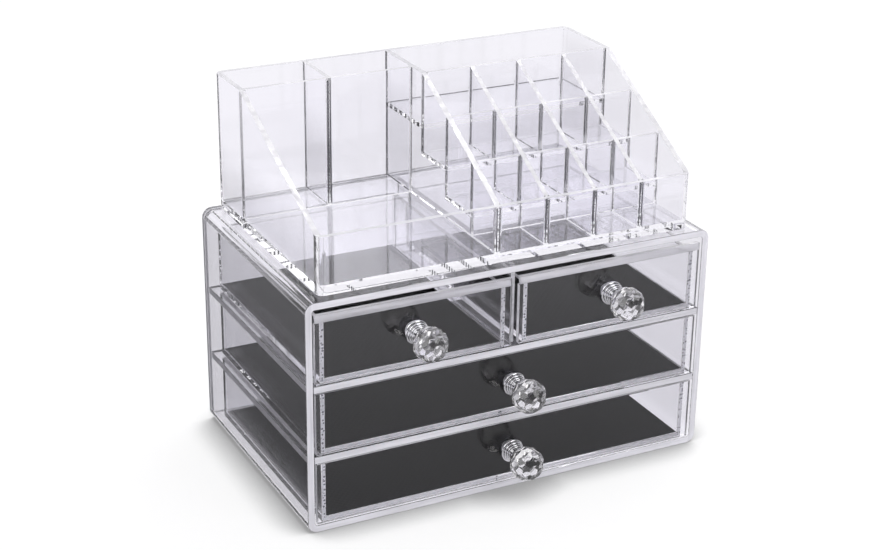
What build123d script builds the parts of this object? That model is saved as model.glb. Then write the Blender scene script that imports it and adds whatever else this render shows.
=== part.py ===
"""Clear acrylic make-up organizer: a cabinet of four drawers with a lift-off tray on top.

Frame: millimetres, +Z up, +X to the right seen from the front, the front faces -Y.
The origin is the centre of the cabinet's base, on the surface that it stands on.
"""

from build123d import *
import os

# ---------------------------------------------------------------- driving dimensions
# Cabinet: one sheet bent into a tube, with a back panel, two shelves and a divider
cabinet_width = 238.0
cabinet_depth = 145.0
cabinet_height = 130.0
case_sheet = 4.0
case_outer_radius = 5.5
case_inner_radius = 1.2
back_sheet = 4.0
shelf_sheet = 4.0
bay_count = 3
upper_bay_extra = 6.0
divider_sheet = 3.0
divider_setback = 4.0

# Drawers: a panel bonded to the front edges of an open box, with a loose pad inside
front_sheet = 3.0
front_side_clearance = 1.4
front_centre_clearance = 0.8
drawer_running_clearance = 0.5
front_top_clearance = 0.7
upper_front_top_clearance = 3.1
front_overhang = 3.0
box_sheet = 2.5
box_top_step = 1.0
box_back_clearance = 4.0
box_corner_radius = 2.0
box_inner_radius = 0.8
liner_thickness = 0.6
liner_clearance = 0.6

# Knobs: a faceted ball on a turned neck, held by a screw through the panel
ball_across_flats = 17.6
ball_table_reach = 8.5
ball_heel_reach = 7.6
ball_facets_around = 10
ball_facet_angles = (30.0, 58.0, 86.0, 112.0, 138.0)
neck_length = 9.4
neck_flange_diameter = 13.4
neck_flange_thickness = 1.6
neck_flange_rounding = 0.5
neck_shoulder_diameter = 11.2
neck_waist_diameter = 7.0
neck_waist_reach = 5.4
neck_cup_diameter = 10.2
neck_cup_lip = 1.0
screw_diameter = 3.8
screw_reach = 6.0
screw_clearance = 0.1
panel_hole_clearance = 0.3
screw_head_diameter = 7.6
screw_head_height = 2.2
screw_head_rounding = 0.7
screw_slot_width = 1.0
screw_slot_depth = 1.0
washer_diameter = 10.0
washer_thickness = 0.9

# Tray: a moulded shell with bonded walls, dividers and stepped floors
tray_width = 218.6
tray_depth = 138.0
tray_height = 77.7
tray_front_inset = 5.7
tray_front_height = 31.5
tray_wall = 3.0
tray_floor = 5.0
tray_corner_radius = 4.5
tray_inner_radius = 1.5
plate_sheet = 2.5
centre_wall_sheet = 3.0
left_section_width = 97.3
bin_depth = 31.5
rear_compartment_depth = 44.2
rear_floor_height = 48.0
first_row_floor_height = 33.0
second_row_floor_height = 17.0
slot_rows = 3
slot_columns = 4
lap_clearance = 0.1

# How far a cutting profile reaches past what it cuts
cut_margin = 2.0

# ---------------------------------------------------------------- derived places
front_y = -cabinet_depth / 2
back_inner_y = cabinet_depth / 2 - back_sheet
case_inner_width = cabinet_width - 2 * case_sheet
case_ceiling_z = cabinet_height - case_sheet
shelf_count = bay_count - 1
shared_height = case_ceiling_z - case_sheet - shelf_count * shelf_sheet - upper_bay_extra
plain_bay_height = shared_height / bay_count
lower_bay_z = case_sheet
middle_bay_z = lower_bay_z + plain_bay_height + shelf_sheet
upper_bay_z = middle_bay_z + plain_bay_height + shelf_sheet
upper_bay_height = case_ceiling_z - upper_bay_z
plain_front_height = plain_bay_height - drawer_running_clearance - front_top_clearance
upper_front_height = upper_bay_height - drawer_running_clearance - upper_front_top_clearance
box_height = plain_front_height - box_top_step
panel_back_y = front_y + front_sheet
box_back_y = back_inner_y - box_back_clearance

tray_base_z = cabinet_height
tray_floor_z = tray_base_z + tray_floor
tray_top_z = tray_base_z + tray_height
tray_front_z = tray_base_z + tray_front_height
tray_front_y = front_y + tray_front_inset
tray_back_y = tray_front_y + tray_depth
tray_centre_y = (tray_front_y + tray_back_y) / 2
tray_inner_left_x = -tray_width / 2 + tray_wall
tray_inner_right_x = tray_width / 2 - tray_wall
tray_inner_front_y = tray_front_y + tray_wall
tray_inner_back_y = tray_back_y - tray_wall

centre_wall_left_x = tray_inner_left_x + left_section_width
centre_wall_right_x = centre_wall_left_x + centre_wall_sheet
right_section_width = tray_inner_right_x - centre_wall_right_x

bins_wall_back_y = tray_inner_back_y - bin_depth
bins_wall_front_y = bins_wall_back_y - plate_sheet
rear_wall_back_y = tray_inner_back_y - rear_compartment_depth
rear_wall_front_y = rear_wall_back_y - plate_sheet

row_walls = slot_rows - 1
row_depth = (rear_wall_front_y - tray_inner_front_y - row_walls * plate_sheet) / slot_rows
front_row_wall_y = tray_inner_front_y + row_depth
middle_row_wall_y = front_row_wall_y + plate_sheet + row_depth
column_width = (right_section_width - (slot_columns - 1) * plate_sheet) / slot_columns
column_pitch = column_width + plate_sheet
divider_xs = [
    centre_wall_right_x + column_pitch * (index + 1) - plate_sheet / 2
    for index in range(slot_columns - 1)
]

rear_floor_z = tray_base_z + rear_floor_height
first_row_floor_z = tray_base_z + first_row_floor_height
second_row_floor_z = tray_base_z + second_row_floor_height

os.makedirs("parts", exist_ok=True)


def save(builder, label):
    """Label a finished piece and write it to its own STEP file."""
    builder.part.label = label
    export_step(builder.part, f"parts/{label}.step")


def slope_height(y, flat_from_y):
    """Height of the tray's sloping rim at y, where it is level behind flat_from_y."""
    run = flat_from_y - tray_inner_front_y
    rise = tray_top_z - tray_front_z
    return min(tray_top_z, tray_front_z + rise * (y - tray_inner_front_y) / run)


def upright_plate(x_low, x_high, y_low, z_low, z_high, sheet=plate_sheet):
    """A plain plate that stands across the tray, its front face at y_low."""
    with BuildPart() as plate:
        with BuildSketch(Plane.XY.offset(z_low)):
            with Locations(((x_low + x_high) / 2, y_low + sheet / 2)):
                Rectangle(x_high - x_low, sheet)
        extrude(amount=z_high - z_low)
    return plate


def level_plate(x_low, x_high, y_low, y_high, top_z, sheet=plate_sheet):
    """A plain plate that lies level, its upper face at top_z."""
    with BuildPart() as plate:
        with BuildSketch(Plane.XY.offset(top_z - sheet)):
            with Locations(((x_low + x_high) / 2, (y_low + y_high) / 2)):
                Rectangle(x_high - x_low, y_high - y_low)
        extrude(amount=sheet)
    return plate


# ---------------------------------------------------------------- cabinet
with BuildPart() as cabinet_case:
    with BuildSketch(Plane.XZ.offset(-cabinet_depth / 2)):
        with Locations((0, cabinet_height / 2)):
            RectangleRounded(cabinet_width, cabinet_height, case_outer_radius)
            RectangleRounded(
                case_inner_width,
                cabinet_height - 2 * case_sheet,
                case_inner_radius,
                mode=Mode.SUBTRACT,
            )
    extrude(amount=cabinet_depth)
save(cabinet_case, "cabinet_case")

with BuildPart() as back_panel:
    with BuildSketch(Plane.XZ.offset(-cabinet_depth / 2)):
        with Locations((0, cabinet_height / 2)):
            RectangleRounded(
                case_inner_width, cabinet_height - 2 * case_sheet, case_inner_radius
            )
    extrude(amount=back_sheet)
save(back_panel, "back_panel")

for shelf_name, shelf_top_z in (("lower_shelf", middle_bay_z), ("upper_shelf", upper_bay_z)):
    save(
        level_plate(
            -case_inner_width / 2,
            case_inner_width / 2,
            front_y,
            back_inner_y,
            shelf_top_z,
            shelf_sheet,
        ),
        shelf_name,
    )

with BuildPart() as drawer_divider:
    with BuildSketch(Plane.XY.offset(upper_bay_z)):
        with Locations((0, (front_y + divider_setback + back_inner_y) / 2)):
            Rectangle(divider_sheet, back_inner_y - front_y - divider_setback)
    extrude(amount=case_ceiling_z - upper_bay_z)
save(drawer_divider, "drawer_divider")


# ---------------------------------------------------------------- drawers
def drawer_front(x_low, x_high, z_low, height):
    """The front panel, with the hole for the knob's screw at its centre."""
    with BuildPart() as panel:
        with BuildSketch(Plane.XZ.offset(-front_y)):
            with Locations(((x_low + x_high) / 2, z_low + height / 2)):
                Rectangle(x_high - x_low, height)
                Circle((screw_diameter + panel_hole_clearance) / 2, mode=Mode.SUBTRACT)
        extrude(amount=-front_sheet)
    return panel


def drawer_box(x_low, x_high, z_low, height):
    """The box behind the panel: floor, two sides and back, open at the top and front."""
    depth = box_back_y - panel_back_y
    with BuildPart() as box:
        with BuildSketch(Plane.XY.offset(z_low)):
            with Locations(((x_low + x_high) / 2, panel_back_y + depth / 2)):
                Rectangle(x_high - x_low, depth)
        extrude(amount=height)
        fillet(
            box.edges().filter_by(Axis.Z).group_by(Axis.Y)[-1],
            radius=box_corner_radius,
        )
        with BuildSketch(Plane.XY.offset(z_low + box_sheet)):
            with Locations(((x_low + x_high) / 2, panel_back_y + (depth - box_sheet) / 2)):
                Rectangle(x_high - x_low - 2 * box_sheet, depth - box_sheet)
        extrude(amount=height, mode=Mode.SUBTRACT)
        inside = box.edges().filter_by(Axis.Z).filter_by(
            lambda edge: edge.center().Y > panel_back_y + box_sheet
            and edge.center().Y < box_back_y - box_sheet / 2
            and x_low + box_sheet / 2 < edge.center().X < x_high - box_sheet / 2
        )
        fillet(inside, radius=box_inner_radius)
    return box


def drawer_liner(x_low, x_high, z_low):
    """The loose pad on the box's floor."""
    margin = box_sheet + liner_clearance
    y_low = panel_back_y + liner_clearance
    y_high = box_back_y - margin
    return level_plate(
        x_low + margin,
        x_high - margin,
        y_low,
        y_high,
        z_low + box_sheet + liner_thickness,
        liner_thickness,
    )


def knob_ball(x, z):
    """A ball cut with rings of flat facets, between a front table and a flat heel."""
    centre = Vector(x, front_y - neck_length - ball_heel_reach, z)
    outward = Vector(0, -1, 0)
    with BuildPart() as ball:
        with BuildSketch(Plane(origin=centre + outward * -ball_heel_reach, z_dir=outward)):
            Circle(ball_across_flats)
        extrude(amount=ball_heel_reach + ball_table_reach)
        for ring, angle in enumerate(ball_facet_angles):
            for index in range(ball_facets_around):
                turn = 360 / ball_facets_around * (index + ring % 2 / 2)
                tilt = Vector(0, 0, 1).rotate(Axis.Y, turn)
                across = tilt.cross(outward)
                normal = outward.rotate(Axis((0, 0, 0), across), -angle)
                facet = Plane(origin=centre + normal * (ball_across_flats / 2), z_dir=normal)
                split(bisect_by=facet, keep=Keep.BOTTOM)
    return ball


def knob_neck(x, z):
    """The turned neck: flange on the panel, shoulder, waist, cup under the ball, blind bore."""
    flange = neck_flange_diameter / 2
    shoulder = neck_shoulder_diameter / 2
    waist = neck_waist_diameter / 2
    cup = neck_cup_diameter / 2
    bore = (screw_diameter + screw_clearance) / 2
    lip_y = -neck_length + neck_cup_lip
    with BuildPart() as neck:
        with BuildSketch(Plane(origin=(x, front_y, z), x_dir=(1, 0, 0), z_dir=(0, 0, 1))):
            with BuildLine():
                Polyline(
                    (shoulder, -neck_flange_thickness),
                    (flange, -neck_flange_thickness),
                    (flange, 0),
                    (bore, 0),
                    (bore, -screw_reach - screw_clearance),
                    (0, -screw_reach - screw_clearance),
                    (0, -neck_length),
                    (cup, -neck_length),
                    (cup, lip_y),
                )
                Spline(
                    (cup, lip_y),
                    (waist, -neck_waist_reach),
                    (shoulder, -neck_flange_thickness),
                )
            make_face()
        revolve(axis=Axis((x, front_y, z), (0, -1, 0)))
        rims = neck.edges().filter_by(GeomType.CIRCLE).group_by(SortBy.RADIUS)[-1]
        fillet(rims.sort_by(Axis.Y)[0], radius=neck_flange_rounding)
    return neck


def knob_screw(x, z):
    """The screw, its slotted head inside the drawer and its shank in the neck."""
    head_y = panel_back_y + washer_thickness
    with BuildPart() as screw:
        with BuildSketch(Plane(origin=(x, head_y, z), z_dir=(0, -1, 0))):
            Circle(screw_diameter / 2)
        extrude(amount=head_y - front_y + screw_reach)
        with BuildSketch(Plane(origin=(x, head_y, z), z_dir=(0, 1, 0))):
            Circle(screw_head_diameter / 2)
        extrude(amount=screw_head_height)
        rim = screw.faces().sort_by(Axis.Y)[-1].edges()
        fillet(rim, radius=screw_head_rounding)
        with BuildSketch(Plane(origin=(x, head_y + screw_head_height, z), z_dir=(0, -1, 0))):
            Rectangle(screw_head_diameter + cut_margin, screw_slot_width)
        extrude(amount=screw_slot_depth, mode=Mode.SUBTRACT)
    return screw


def knob_washer(x, z):
    """The washer between the panel and the screw's head."""
    with BuildPart() as washer:
        with BuildSketch(Plane(origin=(x, panel_back_y, z), z_dir=(0, 1, 0))):
            Circle(washer_diameter / 2)
            Circle((screw_diameter + panel_hole_clearance) / 2, mode=Mode.SUBTRACT)
        extrude(amount=washer_thickness)
    return washer


outer_x = case_inner_width / 2 - front_side_clearance
centre_x = divider_sheet / 2 + front_centre_clearance
drawers = (
    ("lower", -outer_x, outer_x, lower_bay_z, plain_front_height),
    ("middle", -outer_x, outer_x, middle_bay_z, plain_front_height),
    ("upper_left", -outer_x, -centre_x, upper_bay_z, upper_front_height),
    ("upper_right", centre_x, outer_x, upper_bay_z, upper_front_height),
)

for name, left_x, right_x, bay_z, front_height in drawers:
    bottom_z = bay_z + drawer_running_clearance
    knob_x = (left_x + right_x) / 2
    knob_z = bottom_z + front_height / 2
    box_left_x = left_x + front_overhang
    box_right_x = right_x - front_overhang
    save(drawer_front(left_x, right_x, bottom_z, front_height), f"{name}_drawer_front")
    save(
        drawer_box(box_left_x, box_right_x, bottom_z, box_height),
        f"{name}_drawer_box",
    )
    save(drawer_liner(box_left_x, box_right_x, bottom_z), f"{name}_drawer_liner")
    save(knob_ball(knob_x, knob_z), f"{name}_knob_ball")
    save(knob_neck(knob_x, knob_z), f"{name}_knob_neck")
    save(knob_screw(knob_x, knob_z), f"{name}_knob_screw")
    save(knob_washer(knob_x, knob_z), f"{name}_knob_washer")


# ---------------------------------------------------------------- tray
def rim_cut(flat_from_y):
    """Side view of what the sloping rim takes away, from the front to flat_from_y."""
    with BuildLine() as outline:
        Polyline(
            (tray_front_y - cut_margin, tray_front_z),
            (tray_inner_front_y, tray_front_z),
            (flat_from_y, tray_top_z),
            (flat_from_y, tray_top_z + cut_margin),
            (tray_front_y - cut_margin, tray_top_z + cut_margin),
            close=True,
        )
    return outline


with BuildPart() as tray_shell:
    with BuildSketch(Plane.XY.offset(tray_base_z)):
        with Locations((0, tray_centre_y)):
            RectangleRounded(tray_width, tray_depth, tray_corner_radius)
    extrude(amount=tray_height)
    with BuildSketch(Plane.XY.offset(tray_floor_z)):
        with Locations((0, tray_centre_y)):
            RectangleRounded(
                tray_width - 2 * tray_wall, tray_depth - 2 * tray_wall, tray_inner_radius
            )
    extrude(amount=tray_height, mode=Mode.SUBTRACT)
    left_edge_x = -tray_width / 2 - cut_margin
    with BuildSketch(Plane.YZ.offset(left_edge_x)):
        add(rim_cut(bins_wall_front_y).line)
        make_face()
    extrude(amount=centre_wall_left_x - left_edge_x, mode=Mode.SUBTRACT)
    with BuildSketch(Plane.YZ.offset(centre_wall_left_x)):
        add(rim_cut(rear_wall_front_y).line)
        make_face()
    extrude(amount=tray_width / 2 + cut_margin - centre_wall_left_x, mode=Mode.SUBTRACT)
save(tray_shell, "tray_shell")

with BuildPart() as tray_centre_wall:
    with BuildSketch(Plane.YZ.offset(centre_wall_left_x)):
        with BuildLine():
            Polyline(
                (tray_inner_front_y, tray_floor_z),
                (tray_inner_back_y, tray_floor_z),
                (tray_inner_back_y, tray_top_z),
                (rear_wall_front_y, tray_top_z),
                (tray_inner_front_y, tray_front_z),
                close=True,
            )
        make_face()
    extrude(amount=centre_wall_sheet)
save(tray_centre_wall, "tray_centre_wall")

save(
    upright_plate(
        tray_inner_left_x, centre_wall_left_x, bins_wall_front_y, tray_floor_z, tray_top_z
    ),
    "tray_bins_front_wall",
)

bin_divider_x = (tray_inner_left_x + centre_wall_left_x) / 2
save(
    upright_plate(
        bin_divider_x - plate_sheet / 2,
        bin_divider_x + plate_sheet / 2,
        bins_wall_back_y,
        tray_floor_z,
        tray_top_z,
        bin_depth,
    ),
    "tray_bin_divider",
)

save(
    upright_plate(
        centre_wall_right_x,
        tray_inner_right_x,
        rear_wall_front_y,
        first_row_floor_z - plate_sheet,
        tray_top_z,
    ),
    "tray_rear_wall",
)

with BuildPart() as rear_floor:
    with BuildSketch(Plane.XY.offset(rear_floor_z - plate_sheet)):
        with Locations((
            (centre_wall_right_x + tray_inner_right_x) / 2,
            (rear_wall_back_y + tray_inner_back_y) / 2,
        )):
            Rectangle(right_section_width, rear_compartment_depth)
    extrude(amount=plate_sheet)
    shell_corner = rear_floor.edges().filter_by(Axis.Z).group_by(Axis.Y)[-1].sort_by(Axis.X)[-1]
    fillet(shell_corner, radius=tray_inner_radius)
save(rear_floor, "tray_rear_floor")

step_floors = (
    ("tray_first_row_floor", middle_row_wall_y + plate_sheet, rear_wall_front_y, first_row_floor_z),
    ("tray_second_row_floor", front_row_wall_y + plate_sheet, middle_row_wall_y, second_row_floor_z),
)
for floor_name, floor_front_y, floor_back_y, floor_z in step_floors:
    save(
        level_plate(centre_wall_right_x, tray_inner_right_x, floor_front_y, floor_back_y, floor_z),
        floor_name,
    )

row_wall_places = (
    ("tray_middle_row_wall", middle_row_wall_y, second_row_floor_z - plate_sheet, second_row_floor_z),
    ("tray_front_row_wall", front_row_wall_y, tray_floor_z, tray_floor_z),
)
lap_heights = {}
for wall_name, wall_y, wall_bottom_z, wall_foot_z in row_wall_places:
    wall_top_z = slope_height(wall_y, rear_wall_front_y)
    lap_z = (wall_foot_z + wall_top_z) / 2
    lap_heights[wall_y] = lap_z
    with BuildPart() as row_wall:
        with BuildSketch(Plane.XZ.offset(-wall_y)):
            with Locations(((centre_wall_right_x + tray_inner_right_x) / 2,
                            (wall_bottom_z + wall_top_z) / 2)):
                Rectangle(right_section_width, wall_top_z - wall_bottom_z)
            with Locations([(x, lap_z) for x in divider_xs]):
                Rectangle(
                    plate_sheet + 2 * lap_clearance,
                    wall_top_z - lap_z + cut_margin,
                    align=(Align.CENTER, Align.MIN),
                    mode=Mode.SUBTRACT,
                )
        extrude(amount=-plate_sheet)
    save(row_wall, wall_name)

for index, divider_x in enumerate(divider_xs, start=1):
    with BuildPart() as slot_divider:
        with BuildSketch(Plane.YZ.offset(divider_x - plate_sheet / 2)):
            with BuildLine():
                Polyline(
                    (tray_inner_front_y, tray_floor_z),
                    (front_row_wall_y, tray_floor_z),
                    (front_row_wall_y, second_row_floor_z),
                    (middle_row_wall_y, second_row_floor_z),
                    (middle_row_wall_y, first_row_floor_z),
                    (rear_wall_front_y, first_row_floor_z),
                    (rear_wall_front_y, tray_top_z),
                    (tray_inner_front_y, tray_front_z),
                    close=True,
                )
            make_face()
            for wall_y, lap_z in lap_heights.items():
                with Locations((wall_y - lap_clearance, lap_z)):
                    Rectangle(
                        plate_sheet + 2 * lap_clearance,
                        tray_height,
                        align=(Align.MIN, Align.MAX),
                        mode=Mode.SUBTRACT,
                    )
        extrude(amount=plate_sheet)
    save(slot_divider, f"tray_slot_divider_{index}")
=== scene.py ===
"""Looks of a clear acrylic make-up organizer: cabinet, four drawers with faceted knobs, lift-off tray.

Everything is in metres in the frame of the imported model: +Z up, the front faces -Y, and the
origin is the centre of the cabinet's base. Sizes in the classes are millimetres.
"""

import logging
import math
import random
from dataclasses import dataclass, field
from enum import Enum, IntEnum
from typing import Callable, Optional, Sequence

import bmesh
import bpy
from bmesh.types import BMEdge, BMesh, BMFace, BMVert
from bpy.types import Material, Node, NodeSocket, NodeTree, Object
from mathutils import Matrix, Vector


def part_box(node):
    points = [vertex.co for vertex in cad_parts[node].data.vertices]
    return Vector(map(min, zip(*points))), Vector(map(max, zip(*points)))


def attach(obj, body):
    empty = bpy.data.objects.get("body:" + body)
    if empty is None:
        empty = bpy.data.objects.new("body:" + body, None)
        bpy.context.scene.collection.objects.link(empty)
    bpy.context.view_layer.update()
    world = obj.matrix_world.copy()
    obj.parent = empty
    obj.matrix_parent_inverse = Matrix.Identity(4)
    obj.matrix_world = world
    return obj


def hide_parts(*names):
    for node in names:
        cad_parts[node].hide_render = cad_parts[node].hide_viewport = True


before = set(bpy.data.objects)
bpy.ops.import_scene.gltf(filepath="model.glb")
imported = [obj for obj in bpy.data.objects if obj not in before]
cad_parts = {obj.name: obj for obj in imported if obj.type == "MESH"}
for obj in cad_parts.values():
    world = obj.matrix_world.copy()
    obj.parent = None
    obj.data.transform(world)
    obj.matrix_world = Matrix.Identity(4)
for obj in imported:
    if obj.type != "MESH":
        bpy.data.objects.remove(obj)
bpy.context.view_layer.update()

LOG = logging.getLogger("organizer")
MM = 0.001
SEED = 41
AIR_FILM = 0.06
EDGE_POLISH = 0.28
CUT_EDGE_WIDTHS = (1.3, 4.8)
ACRYLIC_IOR = 1.49

Pair = tuple[float, float]
Point = tuple[float, float, float]
Colour = tuple[float, float, float]


class Slot(Enum):
    """The record's material slots."""

    CABINET = "cabinet_acrylic"
    DRAWER = "drawer_acrylic"
    TRAY = "tray_acrylic"
    PAD = "drawer_pad"
    CRYSTAL = "knob_crystal"
    CHROME = "knob_chrome"
    STEEL = "screw_steel"


class Face(IntEnum):
    """What a face of a clear piece is, which is also its material's number."""

    SHEET = 0
    CUT_EDGE = 1
    BONDED = 2
    SLANTING_BACK = 3
    JOINT_SHADE = 4


# ---------------------------------------------------------------- node work
class Nodes:
    """A short way to place and wire shader nodes in one tree."""

    def __init__(self, tree: NodeTree) -> None:
        """Keep the tree that the nodes go into."""
        self.tree = tree

    def plug(self, value: object, socket: NodeSocket) -> None:
        """Wire a socket to another one, or give it a value.

        Args:
            value: A socket, a number, a vector, or a colour without its alpha.
            socket: The socket to feed.
        """
        if isinstance(value, NodeSocket):
            self.tree.links.new(value, socket)
        elif socket.type == "RGBA":
            socket.default_value = (*value, 1.0)
        else:
            socket.default_value = value

    def fill(self, node: Node, **inputs: object) -> Node:
        """Set a node up.

        Args:
            node: The node.
            inputs: Attribute values, or values or sources of sockets, with _ for a space in a name.

        Returns:
            The same node.
        """
        for key, value in inputs.items():
            socket = node.inputs.get(key.replace("_", " "))
            if socket is None or hasattr(node, key):
                setattr(node, key, value)
            else:
                self.plug(value, socket)
        return node

    def add(self, kind: str, **inputs: object) -> Node:
        """Place a node and set it up, as fill does."""
        return self.fill(self.tree.nodes.new(kind), **inputs)

    def maths(self, operation: str, *values: object) -> NodeSocket:
        """Place a Math node.

        Args:
            operation: The node's operation.
            values: One to three sockets or numbers.

        Returns:
            The result's socket.
        """
        node = self.add("ShaderNodeMath", operation=operation)
        for socket, value in zip(node.inputs, values):
            self.plug(value, socket)
        return node.outputs[0]

    def between(self, factor: object, first: object, second: object) -> NodeSocket:
        """Go from a first number at factor 0 to a second one at factor 1."""
        return self.maths("MULTIPLY_ADD", self.maths("SUBTRACT", second, first), factor, first)

    def noise(self, place: NodeSocket, **inputs: object) -> NodeSocket:
        """Place a Noise Texture, which reads a place, and give its grey output."""
        return self.add("ShaderNodeTexNoise", Vector=place, **inputs).outputs["Fac"]

    def place(self, scale: Point = (1.0, 1.0, 1.0), turn: Point = (0.0, 0.0, 0.0)) -> NodeSocket:
        """Read the place on the object, stretched and turned."""
        place = self.add("ShaderNodeTexCoord").outputs["Object"]
        return self.add("ShaderNodeMapping", Vector=place, Scale=scale, Rotation=turn).outputs[0]

    def axis(self, vector: NodeSocket, name: str) -> NodeSocket:
        """Take one axis of a vector."""
        return self.add("ShaderNodeSeparateXYZ", Vector=vector).outputs[name]

    def bump(self, height: NodeSocket, depth: float, strength: float) -> NodeSocket:
        """Place a Bump node of so many millimetres and give its normal."""
        node = self.add("ShaderNodeBump", Height=height, Distance=depth * MM, Strength=strength)
        return node.outputs["Normal"]

    def mix(self, factor: object, *shaders: NodeSocket) -> NodeSocket:
        """Mix two shaders.

        Args:
            factor: A socket or number from 0 to 1.
            shaders: The shader at 0 and the one at 1.

        Returns:
            The mixed shader's socket.
        """
        node = self.add("ShaderNodeMixShader")
        for socket, value in zip(node.inputs, (factor, *shaders)):
            self.plug(value, socket)
        return node.outputs[0]

    def span(self, value: NodeSocket, low: float, high: float,
             to_low: float = 0.0, to_high: float = 1.0) -> NodeSocket:
        """Stretch a value from one range to another, clamped.

        Args:
            value: The socket to read.
            low: Start of the range read.
            high: End of the range read.
            to_low: What low becomes.
            to_high: What high becomes.

        Returns:
            The result's socket.
        """
        node = self.add("ShaderNodeMapRange", From_Min=low, From_Max=high, To_Min=to_low, To_Max=to_high)
        self.plug(value, node.inputs["Value"])
        return node.outputs["Result"]

    def blend(self, factor: object, first: object, second: object) -> NodeSocket:
        """Mix two colours.

        Args:
            factor: A socket or number from 0 to 1.
            first: The colour at 0, a socket or three numbers.
            second: The colour at 1.

        Returns:
            The mixed colour's socket.
        """
        node = self.add("ShaderNodeMix", data_type="RGBA")
        for index, value in ((0, factor), (6, first), (7, second)):
            self.plug(value, node.inputs[index])
        return node.outputs[2]


def new_group(name: str, inputs: dict[str, float],
              outputs: Sequence[str]) -> tuple[Nodes, Node, Node]:
    """Start a shader node group.

    Args:
        name: The group's name.
        inputs: Float inputs with their defaults.
        outputs: Names of the float outputs.

    Returns:
        The node helper, the group's input node and its output node.
    """
    tree = bpy.data.node_groups.new(name, "ShaderNodeTree")
    for title, value in inputs.items():
        socket = tree.interface.new_socket(name=title, in_out="INPUT", socket_type="NodeSocketFloat")
        socket.default_value = value
    for title in outputs:
        tree.interface.new_socket(name=title, in_out="OUTPUT", socket_type="NodeSocketFloat")
    nodes = Nodes(tree)
    return nodes, nodes.add("NodeGroupInput"), nodes.add("NodeGroupOutput")


def handling_marks() -> NodeTree:
    """Hairline scratches, specks of dust and slow waves of a polished surface.

    Returns:
        The group, with inputs Wave Scale, Mark Scale, Mark Amount and outputs Height and Haze.
    """
    nodes, given, result = new_group(
        "handling_marks", {"Wave Scale": 60.0, "Mark Scale": 900.0, "Mark Amount": 0.3}, ("Height", "Haze"))
    place = nodes.place()
    wave = nodes.noise(place, Scale=given.outputs["Wave Scale"], Detail=1.0, Roughness=0.35)
    hairs = nodes.noise(nodes.place((0.06, 1.0, 0.06), (0.4, 0.9, 0.7)),
                        Scale=given.outputs["Mark Scale"], Detail=2.0)
    grains = nodes.add("ShaderNodeTexVoronoi", Vector=place, Scale=given.outputs["Mark Scale"])
    speck = nodes.span(grains.outputs["Distance"], 0.05, 0.13, 1.0, 0.0)
    patch = nodes.span(nodes.noise(place, Scale=38.0, Detail=2.0), 0.5, 0.75)
    marks = nodes.maths("MULTIPLY", nodes.maths("MAXIMUM", nodes.span(hairs, 0.70, 0.78), speck), patch)
    amount = nodes.maths("MULTIPLY", marks, given.outputs["Mark Amount"])
    nodes.fill(result, Height=nodes.maths("MULTIPLY_ADD", amount, 0.02, wave), Haze=amount)
    return nodes.tree


def diamond_mesh() -> NodeTree:
    """Two crossing families of soft strands.

    Returns:
        The group, with input Pitch in metres and outputs Strand and Fibre, each 0 to 1.
    """
    nodes, given, result = new_group("diamond_mesh", {"Pitch": 0.004}, ("Strand", "Fibre"))
    place = nodes.place()
    turns = nodes.maths("DIVIDE", math.pi, given.outputs["Pitch"])
    waves = []
    for sign in (1.0, -1.0):
        across = nodes.maths("MULTIPLY_ADD", nodes.axis(place, "Y"), sign, nodes.axis(place, "X"))
        waves.append(nodes.maths("ABSOLUTE", nodes.maths("COSINE", nodes.maths("MULTIPLY", across, turns))))
    nodes.fill(result, Strand=nodes.maths("MAXIMUM", *waves),
               Fibre=nodes.noise(place, Scale=2600.0, Detail=3.0))
    return nodes.tree


def bond_dots() -> NodeTree:
    """Small air bubbles pressed flat where the sides of the drawer boxes are bonded to their panels.

    Returns:
        The group, with input Scale and outputs Bubble and Film, each 0 to 1.
    """
    nodes, given, result = new_group("bond_dots", {"Scale": 620.0}, ("Bubble", "Film"))
    place = nodes.place()
    cells = nodes.add("ShaderNodeTexVoronoi", Vector=place, Scale=given.outputs["Scale"], Randomness=0.55)
    across = nodes.maths("ABSOLUTE", nodes.axis(place, "X"))
    outer_side, inner_side, reach = 0.1094, 0.0066, 0.0015
    upright = nodes.maths("MAXIMUM", nodes.maths("COMPARE", across, outer_side, reach),
                          nodes.maths("COMPARE", across, inner_side, reach))
    dots = nodes.span(cells.outputs["Distance"], 0.30, 0.46, 1.0, 0.0)
    film = nodes.span(nodes.noise(place, Scale=240.0, Detail=2.0), 0.3, 0.7)
    nodes.fill(result, Bubble=nodes.maths("MULTIPLY", dots, upright), Film=film)
    return nodes.tree


# ---------------------------------------------------------------- finishes
def scaled(colour: Colour, factor: float) -> Colour:
    """A colour made darker by a factor."""
    return tuple(channel * factor for channel in colour)


@dataclass(frozen=True)
class Finish:
    """A finish that several pieces share."""

    name: str

    def material(self, group: NodeTree) -> Material:
        """Build the material.

        Args:
            group: The shared node group that the finish reads.

        Returns:
            The material.
        """
        material = bpy.data.materials.new(self.name)
        material.use_nodes = True
        nodes = Nodes(material.node_tree)
        self.dress(nodes, material.node_tree.nodes["Principled BSDF"],
                   nodes.add("ShaderNodeGroup", node_tree=group))
        return material

    def dress(self, nodes: Nodes, shader: Node, group: Node) -> None:
        """Fill the shader's inputs; each finish has its own way."""
        raise NotImplementedError


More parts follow.
